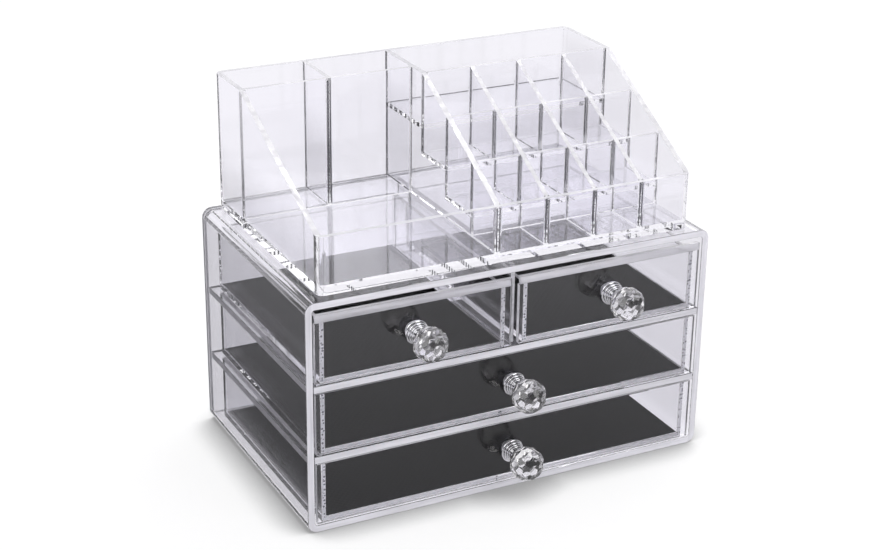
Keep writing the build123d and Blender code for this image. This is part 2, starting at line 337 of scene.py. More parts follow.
@dataclass(frozen=True)
class ClearFinish(Finish):
    """Polished clear plastic or glass."""

    tint: Colour = (0.978, 0.975, 0.992)
    refraction: float = ACRYLIC_IOR
    polish: float = 0.0
    wave_scale: float = 22.0
    wave_height: float = 0.03
    mark_amount: float = 0.05

    def dress(self, nodes: Nodes, shader: Node, group: Node) -> None:
        """Clear, with slow waves, faint clouds and a few marks.

        Args:
            nodes: The material's node helper.
            shader: Its Principled shader.
            group: The shared group's node.
        """
        nodes.fill(group, Wave_Scale=self.wave_scale, Mark_Scale=700.0, Mark_Amount=self.mark_amount)
        light = tuple(min(1.0, channel + 0.008) for channel in self.tint)
        clouds = nodes.span(nodes.noise(nodes.place(), Scale=9.0, Detail=1.0), 0.35, 0.65)
        nodes.fill(shader, Transmission_Weight=1.0, IOR=self.refraction,
                   Base_Color=nodes.blend(clouds, self.tint, light),
                   Roughness=nodes.maths("ADD", group.outputs["Haze"], self.polish),
                   Normal=nodes.bump(group.outputs["Height"], self.wave_height, 1.0))


@dataclass(frozen=True)
class EdgeFinish(Finish):
    """A sawn and polished edge, which scatters the light that the plate carries to it."""

    side_colour: Colour
    # Painted light: the colour of edges that face up, as if lit from above.
    painted_top_light_colour: Colour
    clear: float

    def dress(self, nodes: Nodes, shader: Node, group: Node) -> None:
        """Half clear and streaked along the edge, with painted light: paler where it looks up.

        Args:
            nodes: The material's node helper.
            shader: Its Principled shader.
            group: The shared group's node.
        """
        nodes.fill(group, Wave_Scale=160.0, Mark_Scale=700.0, Mark_Amount=0.3)
        facing = nodes.axis(nodes.add("ShaderNodeNewGeometry").outputs["Normal"], "Z")
        # Painted light: edges facing up get the paler colour.
        colour = nodes.blend(nodes.span(facing, 0.2, 0.6), self.side_colour, self.painted_top_light_colour)
        case_side, reach = 0.1175, 0.003
        across = nodes.maths("ABSOLUTE", nodes.axis(nodes.place(), "X"))
        upright = nodes.maths("COMPARE", across, case_side, reach)
        level_streaks, upright_streaks = (nodes.noise(nodes.place(scale), Scale=620.0, Detail=2.0)
                                          for scale in ((0.05, 0.1, 1.0), (1.0, 0.1, 0.05)))
        sawn = nodes.between(upright, level_streaks, upright_streaks)
        nodes.fill(shader, Transmission_Weight=self.clear, IOR=ACRYLIC_IOR,
                   Base_Color=nodes.blend(nodes.span(sawn, 0.38, 0.62, 0.0, 0.7), colour,
                                          scaled(self.side_colour, 0.78)),
                   Roughness=nodes.maths("ADD", group.outputs["Haze"], 0.1),
                   Normal=nodes.bump(sawn, 0.03, 0.6))


@dataclass(frozen=True)
class BondFinish(Finish):
    """A bonded joint seen through clear plastic: pale film with darker bubbles."""

    film_colour: Colour
    bubble_colour: Colour
    clear: float

    def dress(self, nodes: Nodes, shader: Node, group: Node) -> None:
        """Half clear, with an uneven film and smoother bubbles.

        Args:
            nodes: The material's node helper.
            shader: Its Principled shader.
            group: The shared group's node.
        """
        nodes.fill(group, Scale=620.0)
        bubble = group.outputs["Bubble"]
        film = nodes.blend(group.outputs["Film"], scaled(self.film_colour, 0.82), self.film_colour)
        nodes.fill(shader, Transmission_Weight=self.clear, IOR=ACRYLIC_IOR,
                   Base_Color=nodes.blend(bubble, film, self.bubble_colour),
                   Roughness=nodes.span(bubble, 0.0, 1.0, 0.35, 0.12),
                   Normal=nodes.bump(bubble, 0.1, 0.7))


@dataclass(frozen=True)
class MetalFinish(Finish):
    """Plated or plain metal."""

    colour: Colour
    polish: float
    streak: float
    mark_amount: float

    def dress(self, nodes: Nodes, shader: Node, group: Node) -> None:
        """Metal with the fine rings that turning leaves.

        Args:
            nodes: The material's node helper.
            shader: Its Principled shader.
            group: The shared group's node.
        """
        nodes.fill(group, Wave_Scale=240.0, Mark_Scale=2200.0, Mark_Amount=self.mark_amount)
        turned = nodes.noise(nodes.place((1.0, 14.0, 1.0)), Scale=420.0, Detail=2.0)
        rough = nodes.span(turned, 0.3, 0.7, self.polish, self.polish + self.streak)
        nodes.fill(shader, Metallic=1.0,
                   Base_Color=nodes.blend(nodes.span(turned, 0.4, 0.6), scaled(self.colour, 0.86),
                                          self.colour),
                   Roughness=nodes.maths("ADD", rough, group.outputs["Haze"]),
                   Normal=nodes.bump(group.outputs["Height"], 0.02, 0.6))


@dataclass(frozen=True)
class PadFinish(Finish):
    """Soft black foam mesh."""

    strand_colour: Colour
    painted_shade_pit_colour: Colour
    pitch: float

    def dress(self, nodes: Nodes, shader: Node, group: Node) -> None:
        """Matt black, paler and smoother on the strands; the darker pits between them are painted shade.

        Args:
            nodes: The material's node helper.
            shader: Its Principled shader.
            group: The shared group's node.
        """
        nodes.fill(group, Pitch=self.pitch * MM)
        fibre = nodes.span(group.outputs["Fibre"], 0.3, 0.7, 0.6, 1.0)
        # Painted shade: the pits between the strands get the darker colour.
        mask = nodes.maths("MULTIPLY", nodes.span(group.outputs["Strand"], 0.72, 0.98), fibre)
        nodes.fill(shader, Specular_IOR_Level=0.22, Sheen_Weight=0.04, Sheen_Roughness=0.5,
                   Base_Color=nodes.blend(mask, self.painted_shade_pit_colour, self.strand_colour),
                   Roughness=nodes.span(fibre, 0.6, 1.0, 0.75, 0.5),
                   Normal=nodes.bump(group.outputs["Fibre"], 0.08, 0.5))


@dataclass
class Finishes:
    """Every material of the organizer, made once."""

    cabinet: Material
    drawer: Material
    tray: Material
    edge: Material
    bond: Material
    prism: Material
    shade: Material
    crystal: Material
    chrome: Material
    steel: Material
    pad: Material

    def clear(self, plastic: Material) -> tuple[Material, ...]:
        """A clear piece's materials, in the order of Face."""
        return plastic, self.edge, self.bond, self.prism, self.shade

    @classmethod
    def make(cls) -> "Finishes":
        """Build the shared groups and the materials.

        Returns:
            The set of materials.
        """
        made = {
            "cabinet": ClearFinish("cabinet_acrylic_polished"),
            "drawer": ClearFinish("drawer_acrylic_polished", wave_scale=26.0, wave_height=0.02),
            "tray": ClearFinish("tray_acrylic_moulded", wave_scale=30.0, wave_height=0.04),
            # The second colour is painted light for edges that face up.
            "edge": EdgeFinish("acrylic_cut_edge", (0.92, 0.91, 0.96), (0.98, 0.975, 0.99), clear=0.35),
            "prism": ClearFinish("acrylic_slanting_back", (0.84, 0.92, 1.0), polish=0.02),
            "bond": BondFinish("acrylic_bond_line", (0.84, 0.83, 0.88), (0.20, 0.20, 0.24), clear=0.4),
            # Painted shade for the dark lines beside the tray's flat joints.
            "shade": BondFinish("acrylic_joint_shade", (0.20, 0.20, 0.24), (0.05, 0.05, 0.06), clear=0.4),
            "crystal": ClearFinish("knob_crystal_cut", (0.99, 0.985, 0.97), 1.72, wave_scale=90.0,
                                   wave_height=0.002, mark_amount=0.02),
            "chrome": MetalFinish("knob_chrome_plated", (0.83, 0.83, 0.85), polish=0.04, streak=0.05,
                                  mark_amount=0.05),
            "steel": MetalFinish("screw_steel_zinc", (0.60, 0.60, 0.61), polish=0.24, streak=0.16,
                                 mark_amount=0.20),
            # The second colour is painted shade for the pits of the mesh.
            "pad": PadFinish("drawer_pad_mesh", (0.0045, 0.0036, 0.004), (0.0012, 0.001, 0.0012), pitch=3.6),
        }
        groups = {BondFinish: bond_dots(), PadFinish: diamond_mesh()}
        marks = handling_marks()
        return cls(**{key: finish.material(groups.get(type(finish), marks)) for key, finish in made.items()})


# ---------------------------------------------------------------- shaping
def new_object(name: str, shape: BMesh) -> Object:
    """Put a finished shape into the scene.

    Args:
        name: The object's name.
        shape: The shape, which is freed.

    Returns:
        The new object, at the origin.
    """
    mesh = bpy.data.meshes.new(name)
    shape.to_mesh(mesh)
    shape.free()
    made = bpy.data.objects.new(name, mesh)
    bpy.context.scene.collection.objects.link(made)
    return made


def prism(base: Sequence[Vector], top: Sequence[Vector]) -> BMesh:
    """A solid between two polygons.

    Args:
        base: Corners of the first polygon, mm.
        top: Corners of the second one, in the same order, mm.

    Returns:
        The new shape.
    """
    shape = bmesh.new()
    rings = [[shape.verts.new([value * MM for value in corner]) for corner in ring] for ring in (base, top)]
    shape.faces.new(reversed(rings[0]))
    shape.faces.new(rings[1])
    for index in range(len(base)):
        after = (index + 1) % len(base)
        shape.faces.new((rings[0][index], rings[0][after], rings[1][after], rings[1][index]))
    return shape


def block(low: Sequence[float], high: Sequence[float], upright: float = 0.0, along: float = 0.0,
          only: Optional[Callable[[Vector], bool]] = None, steps: int = 6) -> Object:
    """A block between two corners, its upright or front-to-back edges rounded.

    Args:
        low: Lowest corner, mm.
        high: Highest corner, mm.
        upright: Rounding of the edges along Z, mm.
        along: Rounding of the edges along Y, mm.
        only: Picks the edges to round by their middle point, in mm.
        steps: Facets of a rounding.

    Returns:
        A working object.
    """
    outline = ((low[0], low[1]), (high[0], low[1]), (high[0], high[1]), (low[0], high[1]))
    shape = prism(*([(x, y, z) for x, y in outline] for z in (low[2], high[2])))
    for axis, radius in ((2, upright), (1, along)):
        if radius:
            edges = [e for e in shape.edges
                     if abs((e.verts[0].co - e.verts[1].co).normalized()[axis]) > 0.99
                     and (only is None or only((e.verts[0].co + e.verts[1].co) / (2 * MM)))]
            bmesh.ops.bevel(shape, geom=edges, offset=radius * MM, segments=steps, profile=0.5,
                            affect="EDGES", material=-1)
    return new_object("working_block", shape)


def profile_block(points: Sequence[Pair], x_low: float, x_high: float) -> Object:
    """A block whose side view is a polygon, drawn front to back.

    Args:
        points: Corners as (y, z), mm.
        x_low: Left face, mm.
        x_high: Right face, mm.

    Returns:
        A working object.
    """
    shape = prism(*([(x, y, z) for y, z in points] for x in (x_low, x_high)))
    bmesh.ops.recalc_face_normals(shape, faces=shape.faces)
    return new_object("working_profile", shape)


def cut(base: Object, others: Sequence[Object]) -> None:
    """Cut other shapes out of a base.

    Args:
        base: The shape that is kept.
        others: Working objects, which are removed.
    """
    operands = bpy.data.collections.new("working_operands")
    bpy.context.scene.collection.children.link(operands)
    for other in others:
        bpy.context.scene.collection.objects.unlink(other)
        operands.objects.link(other)
    cutter = base.modifiers.new("working", "BOOLEAN")
    cutter.operation = "DIFFERENCE"
    cutter.solver = "EXACT"
    cutter.operand_type = "COLLECTION"
    cutter.collection = operands
    ready = base.evaluated_get(bpy.context.evaluated_depsgraph_get())
    mesh = bpy.data.meshes.new_from_object(ready)
    base.modifiers.clear()
    base.data = mesh
    for other in others:
        bpy.data.objects.remove(other)
    bpy.data.collections.remove(operands)


def turned_edges(shape: BMesh, degrees: float) -> list[BMEdge]:
    """The edges where two faces meet at more than an angle."""
    return [e for e in shape.edges
            if len(e.link_faces) == 2 and e.calc_face_angle(0.0) > math.radians(degrees)]


def polish_edges(shape: BMesh, fillet: float) -> None:
    """Merge what the cutting left in pieces, fill the upright inner corners and round every outer edge.

    Args:
        shape: The shape, changed in place.
        fillet: Width of the fillet in upright inner corners, mm; none if it is no wider than the polish.
    """
    bmesh.ops.remove_doubles(shape, verts=shape.verts, dist=0.004 * MM)
    bmesh.ops.dissolve_limit(shape, angle_limit=math.radians(0.6), verts=shape.verts, edges=shape.edges)
    sharp = turned_edges(shape, 28)
    inner = [e for e in sharp if not e.is_convex and fillet > EDGE_POLISH
             and abs((e.verts[0].co - e.verts[1].co).normalized().z) > 0.99]
    if inner:
        bmesh.ops.bevel(shape, geom=inner, offset=fillet * MM, segments=3, profile=0.5, affect="EDGES",
                        material=-1, clamp_overlap=True)
        sharp = turned_edges(shape, 40)
    bmesh.ops.bevel(shape, geom=sharp, offset=EDGE_POLISH * MM, segments=2, profile=0.5, affect="EDGES",
                    material=-1, clamp_overlap=True)
    bmesh.ops.dissolve_degenerate(shape, edges=shape.edges, dist=0.002 * MM)


def shade(shape: BMesh) -> None:
    """Keep flat faces flat and roundings smooth.

    Args:
        shape: The shape, changed in place.
    """
    shape.normal_update()
    for face in shape.faces:
        face.smooth = max(abs(value) for value in face.normal) < 0.9999
    for edge in shape.edges:
        edge.smooth = len(edge.link_faces) == 2 and edge.calc_face_angle(0.0) < math.radians(20)


def mark_cut_edges(shape: BMesh, bonded: Sequence[Point]) -> None:
    """Number the narrow faces of the plates by material: cut edge, bonded joint, slanting back.

    Args:
        shape: The shape, changed in place.
        bonded: Directions that the bonded faces look in.
    """
    for face in shape.faces:
        width = 2 * face.calc_area() / face.calc_perimeter() / MM
        way = face.normal
        if not CUT_EDGE_WIDTHS[0] < width < CUT_EDGE_WIDTHS[1]:
            continue
        if any(way.dot(Vector(out)) > 0.99 for out in bonded):
            face.material_index = Face.BONDED
        elif way.z > 0.3 or abs(way.y) > 0.9 or abs(way.x) > 0.9:
            face.material_index = Face.CUT_EDGE
        elif way.y > 0.7 and way.z < -0.2:
            face.material_index = Face.SLANTING_BACK


def turn_inside_out(shape: BMesh,
                    verts: Sequence[BMVert]) -> list[BMFace]:
    """Make a closed shape that was just added into a hollow.

    Args:
        shape: The shape that it was added to, changed in place.
        verts: The added shape's vertices.

    Returns:
        The added shape's faces.
    """
    faces = list({face for vert in verts for face in vert.link_faces})
    bmesh.ops.reverse_faces(shape, faces=faces)
    return faces


@dataclass
class Plate:
    """A plate that is bonded onto a clear solid, with a film between them."""

    shape: Object
    bonded: Sequence[Point]


@dataclass
class Seam:
    """An upright bonded joint: a row of bubbles, and dark lines of painted shade on both sides of them if it
    is flat.
    """

    x: float
    y: float
    foot: float
    top: float
    size: Point
    pitch: float = 1.9
    line_width: float = 0.6
    line_depth: float = 0.06
    line_shift: float = 0.8

    def weld(self, shape: BMesh, chance: random.Random) -> None:
        """Put the bubbles and the lines into a clear solid, as small hollows.

        Args:
            shape: The clear solid's shape, changed in place.
            chance: The seeded source of small differences.
        """
        first, last = Vector((self.x, self.y, self.foot)), Vector((self.x, self.y, self.top))
        count = max(2, round((last - first).length / self.pitch) + 1)
        for index in range(count):
            grown = Vector(self.size) * chance.uniform(0.75, 1.0) * MM
            middle = first.lerp(last, index / (count - 1)) * MM
            made = bmesh.ops.create_icosphere(shape, subdivisions=1, radius=1.0,
                                              matrix=Matrix.LocRotScale(middle, None, grown))
            for face in turn_inside_out(shape, made["verts"]):
                face.smooth = True
        if self.size[0] == self.size[1]:
            return
        # The lines are painted shade: thin dark hollows on both sides of a flat joint.
        length = self.top - self.foot
        aside, line = Vector((self.line_shift, 0, 0)), Vector((self.line_width, self.line_depth, length))
        if self.size[0] < self.size[1]:
            aside, line = aside.yxz, line.yxz
        for middle in ((first + last) / 2 - aside, (first + last) / 2 + aside):
            made = bmesh.ops.create_cube(shape, size=1.0,
                                         matrix=Matrix.LocRotScale(middle * MM, None, line * MM))
            for face in turn_inside_out(shape, made["verts"]):
                face.material_index = Face.JOINT_SHADE


@dataclass
class ClearSolid:
    """One clear piece: its plates joined, cut, polished and bonded."""

    name: str
    replaces: Sequence[str]
    body: str
    slot: Slot
    materials: Sequence[Material]
    base: Object
    cuts: Sequence[Sequence[Object]] = ()
    plates: Sequence[Plate] = ()
    seams: Sequence[Seam] = ()
    fillet: float = 0.0

    def build(self) -> Object:
        """Cut and finish the piece.

        Returns:
            The piece, riding on its body in place of its CAD nodes.
        """
        for group in self.cuts:
            cut(self.base, group)
        whole = bmesh.new()
        for plate in (Plate(self.base, ()), *self.plates):
            shape = bmesh.new()
            shape.from_mesh(plate.shape.data)
            polish_edges(shape, self.fillet)
            shade(shape)
            mark_cut_edges(shape, plate.bonded)
            shape.to_mesh(plate.shape.data)
            shape.free()
            whole.from_mesh(plate.shape.data)
            bpy.data.objects.remove(plate.shape)
        chance = random.Random(SEED)
        for seam in self.seams:
            seam.weld(whole, chance)
        return place(new_object(self.name, whole), self.materials, self.body, self.slot, self.replaces)


def place(piece: Object, materials: Sequence[Material], body: str, slot: Slot,
          replaces: Sequence[str]) -> Object:
    """Dress a piece, let it ride, and hide the CAD nodes it stands for.

    Args:
        piece: The finished piece.
        materials: Its materials, in the order of the faces' numbers.
        body: The CAD body it moves with.
        slot: The record's material slot; not used.
        replaces: CAD nodes that it stands for.

    Returns:
        The same piece.
    """
    for material in materials:
        piece.data.materials.append(material)
    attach(piece, body)
    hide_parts(*replaces)
    return piece


def corners(node: str) -> tuple[Vector, Vector]:
    """Lowest and highest corner of a CAD node, in mm."""
    return tuple(Vector([round(value / MM, 2) for value in corner]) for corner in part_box(node))


# ---------------------------------------------------------------- cabinet
@dataclass
class Cabinet:
    """The bent case with its back, two shelves and the divider of the upper drawers."""

    finishes: Finishes
    sheet: float = 4.0
    outer_radius: float = 5.5
    inner_radius: float = 1.5

    def build(self) -> Object:
        """Build the cabinet's clear solid.

        Returns:
            The piece.
        """
        low, high = corners("cabinet_case")
        case = block(low, high, along=self.outer_radius, steps=8)
        bay = block((low.x + self.sheet, low.y - 1, low.z + self.sheet),
                    (high.x - self.sheet, high.y + 1, high.z - self.sheet), along=self.inner_radius, steps=3)
        panel_low, panel_high = corners("back_panel")
        film = Vector((AIR_FILM, 0, AIR_FILM))
        panel = block(panel_low + film, panel_high - film, along=self.inner_radius, steps=3)
        plates = [Plate(panel, ((1, 0, 0), (-1, 0, 0), (0, 0, 1), (0, 0, -1)))]
        for node in ("lower_shelf", "upper_shelf"):
            shelf_low, shelf_high = corners(node)
            shelf = block((shelf_low.x + AIR_FILM, shelf_low.y, shelf_low.z),
                          (shelf_high.x - AIR_FILM, shelf_high.y - AIR_FILM, shelf_high.z))
            plates.append(Plate(shelf, ((1, 0, 0), (-1, 0, 0), (0, 1, 0))))
        wall_low, wall_high = corners("drawer_divider")
        wall = block((wall_low.x, wall_low.y, wall_low.z + AIR_FILM),
                     (wall_high.x, wall_high.y - AIR_FILM, wall_high.z - AIR_FILM))
        plates.append(Plate(wall, ((0, 1, 0), (0, 0, 1), (0, 0, -1))))
        return ClearSolid(
            "cabinet_clear_case",
            ("cabinet_case", "back_panel", "lower_shelf", "upper_shelf", "drawer_divider"),
            "cabinet", Slot.CABINET, self.finishes.clear(self.finishes.cabinet), case,
            cuts=[[bay]], plates=plates,
        ).build()


# ---------------------------------------------------------------- drawers
@dataclass
class MeshPad:
    """The loose foam mesh pad on a drawer's floor."""

    drawer: str
    finishes: Finishes
    pitch: float = 3.6
    cell: float = 0.72
    relief: float = 0.16

    def height(self, x: float, y: float) -> float:
        """Relief of the mesh at a point, 0 to 1."""
        waves = [abs(math.cos(math.pi * (x + sign * y) / self.pitch)) for sign in (1, -1)]
        return max(waves) ** 3

    def build(self, rests_on: Object) -> Object:
        """Build the pad from its flat cut.

        Args:
            rests_on: The drawer's clear piece; not used.

        Returns:
            The piece.
        """
        node = f"{self.drawer}_drawer_liner"
        low, high = corners(node)
        size = high - low
        shape = bmesh.new()
        bmesh.ops.create_grid(shape, x_segments=round(size.x / self.cell),
                              y_segments=round(size.y / self.cell), size=0.5)
        bmesh.ops.scale(shape, vec=(size.x * MM, size.y * MM, 1.0), verts=shape.verts)
        middle = (low + high) / 2
        bmesh.ops.translate(shape, vec=(middle.x * MM, middle.y * MM, high.z * MM), verts=shape.verts)
        for vert in shape.verts:
            rise = self.height(vert.co.x / MM, vert.co.y / MM)
            vert.co.z -= self.relief * (1 - rise) * MM
        rim = [edge for edge in shape.edges if edge.is_boundary]
        grown = bmesh.ops.extrude_edge_only(shape, edges=rim)
        for vert in (v for v in grown["geom"] if isinstance(v, BMVert)):
            vert.co.z = (low.z + AIR_FILM) * MM
        bmesh.ops.holes_fill(shape, edges=[edge for edge in shape.edges if edge.is_boundary], sides=0)
        bmesh.ops.recalc_face_normals(shape, faces=shape.faces)
        for face in shape.faces:
            face.smooth = abs(face.normal.z) > 0.3
        pad = place(new_object(f"{self.drawer}_drawer_mesh_pad", shape), (self.finishes.pad,),
                    f"{self.drawer}_drawer", Slot.PAD, (node,))
        return pad


@dataclass
class Knob:
    """A cut crystal ball on a turned chrome neck, with its screw and washer."""

    drawer: str
    finishes: Finishes
    beads: tuple[Pair, ...] = ((6.65, 1.9), (5.85, 1.6), (5.2, 1.4), (4.75, 1.2))
    groove: float = 0.9
    waist: float = 3.9
    cup: float = 5.1
    sunk: float = 0.3
    around: int = 72

    def build(self) -> list[Object]:
        """Build the four pieces of the knob.

        Returns:
            The pieces.
        """
        return [self.ball(), self.neck(), self.washer(), self.screw()]

    def ball(self) -> Object:
        """The cut ball, its facet edges polished.

        Returns:
            The piece.
        """
        node = f"{self.drawer}_knob_ball"
        shape = bmesh.new()
        shape.from_mesh(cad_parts[node].data)
        bmesh.ops.remove_doubles(shape, verts=shape.verts, dist=0.01 * MM)
        bmesh.ops.dissolve_limit(shape, angle_limit=math.radians(2), verts=shape.verts, edges=shape.edges)
        bmesh.ops.bevel(shape, geom=shape.edges[:], offset=0.07 * MM, segments=1, profile=0.5,
                        affect="EDGES", material=-1)
        return place(new_object(f"{self.drawer}_knob_cut_ball", shape), (self.finishes.crystal,),
                     f"{self.drawer}_drawer", Slot.CRYSTAL, (node,))

    def turned(self, node: str, name: str, profile: Sequence[Pair], material: Material,
               slot: Slot) -> Object:
        """A piece turned on the axis of the CAD node that it stands for.

        Args:
            node: The CAD node's name.
            name: The piece's own name.
            profile: Points as (radius, y), mm, from axis to axis or a closed ring.
            material: The piece's material.
            slot: The record's material slot.

        Returns:
            The piece.
        """
        low, high = corners(node)
        axis_x, axis_z = (low.x + high.x) / 2, (low.z + high.z) / 2
        shape = bmesh.new()
        ring = [shape.verts.new(((axis_x + radius) * MM, y * MM, axis_z * MM)) for radius, y in profile]
        edges = [shape.edges.new(pair) for pair in zip(ring, ring[1:])]
        if profile[0][0] > 0:
            edges.append(shape.edges.new((ring[-1], ring[0])))
        bmesh.ops.spin(shape, geom=ring + edges, cent=(axis_x * MM, 0, axis_z * MM), axis=(0, 1, 0),
                       angle=math.tau, steps=self.around, use_merge=True)
        bmesh.ops.remove_doubles(shape, verts=shape.verts, dist=0.002 * MM)
        bmesh.ops.recalc_face_normals(shape, faces=shape.faces)
        for face in shape.faces:
            face.smooth = True
        for edge in shape.edges:
            edge.smooth = edge.calc_face_angle(0.0) < math.radians(32)
        return place(new_object(name, shape), (material,), f"{self.drawer}_drawer", slot, (node,))

    def neck(self) -> Object:
        """The neck: rimmed flange with a groove, trumpet waist and cup.

        Returns:
            The piece.
        """
        node = f"{self.drawer}_knob_neck"
        low, high = corners(node)
        back, front = high.y - AIR_FILM, low.y - self.sunk
        profile = [(0.0, back - 6.0), (2.0, back - 6.0), (2.0, back)]
        y = back
        for radius, width in self.beads:
            for step in range(9):
                bulge = math.sin(math.pi * step / 8) ** 0.5
                profile.append((radius - self.groove * (1 - bulge), y - width * step / 8))
            y -= width
        profile += [(self.waist, y - 0.3), (self.waist, y - 0.9), (self.waist + 0.4, y - 1.4),
                    (self.cup - 0.2, y - 1.9), (self.cup, y - 2.2), (self.cup, front + 0.35),
                    (self.cup - 0.3, front), (0.0, front)]
        return self.turned(node, f"{self.drawer}_knob_turned_neck", profile, self.finishes.chrome,
                           Slot.CHROME)

    def washer(self) -> Object:
        """The washer behind the panel, a hair clear of it.

        Returns:
            The piece.
        """
        node = f"{self.drawer}_knob_washer"
        low, high = corners(node)
        outer = (high.x - low.x) / 2
        front, back = low.y + AIR_FILM, high.y
        ring = [(2.1, front), (outer - 0.2, front), (outer, front + 0.2), (outer, back - 0.2),
                (outer - 0.2, back), (2.1, back)]
        return self.turned(node, f"{self.drawer}_knob_flat_washer", ring, self.finishes.steel, Slot.STEEL)

    def screw(self) -> Object:
        """The CAD's screw, in zinc-plated steel.

        Returns:
            The CAD node's object.
        """
        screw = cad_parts[f"{self.drawer}_knob_screw"]
        screw.data.materials.clear()
        screw.data.materials.append(self.finishes.steel)
        return screw


@dataclass
class Drawer:
    """A drawer: panel and box in one bonded solid, with its pad and knob."""

    name: str
    finishes: Finishes
    wall: float = 2.5
    corner: float = 2.0
    inner_corner: float = 0.8
    undercut_depth: float = 2.2

    def build(self) -> list[Object]:
        """Build the whole drawer.

        Returns:
            Its pieces.
        """
        clear = self.clear()
        pad = MeshPad(self.name, self.finishes).build(clear)
        return [clear, pad, *Knob(self.name, self.finishes).build()]

    def clear(self) -> Object:
        """Build the bonded panel and box.

        Returns:
            The piece.
        """
        front_low, front_high = corners(f"{self.name}_drawer_front")
        box_low, box_high = corners(f"{self.name}_drawer_box")
        middle_y = (box_low.y + box_high.y) / 2
        panel = block(front_low, front_high)
        box = block((box_low.x, box_low.y + AIR_FILM, box_low.z), box_high, upright=self.corner,
                    only=lambda point: point.y > middle_y)
        hollow = block((box_low.x + self.wall, box_low.y - 1, box_low.z + self.wall),
                       (box_high.x - self.wall, box_high.y - self.wall, front_high.z + 2),
                       upright=self.inner_corner, only=lambda point: point.y > middle_y, steps=3)
        cut(box, [hollow])
        return ClearSolid(
            f"{self.name}_drawer_clear_box",
            (f"{self.name}_drawer_front", f"{self.name}_drawer_box"),
            f"{self.name}_drawer", Slot.DRAWER, self.finishes.clear(self.finishes.drawer), panel,
            cuts=self.undercut(),
            plates=[Plate(box, ((0, -1, 0),))],
        ).build()

    def undercut(self) -> list[list[Object]]:
        """The slanting back of a panel that stands well above its box.

        Returns:
            One group with the shape to cut, or none for a low panel.
        """
        low, high = corners(f"{self.name}_drawer_front")
        rim_z = corners(f"{self.name}_drawer_box")[1].z
        if high.z - rim_z < 2:
            return []
        top_cut, over, behind = 0.4, high.z + 1, high.y + 0.5
        lean = (self.undercut_depth - top_cut) / (high.z - rim_z)
        side = ((high.y - self.undercut_depth, rim_z), (behind, rim_z), (behind, over),
                (high.y - top_cut + lean, over))
        return [[profile_block(side, low.x - 1, high.x + 1)]]


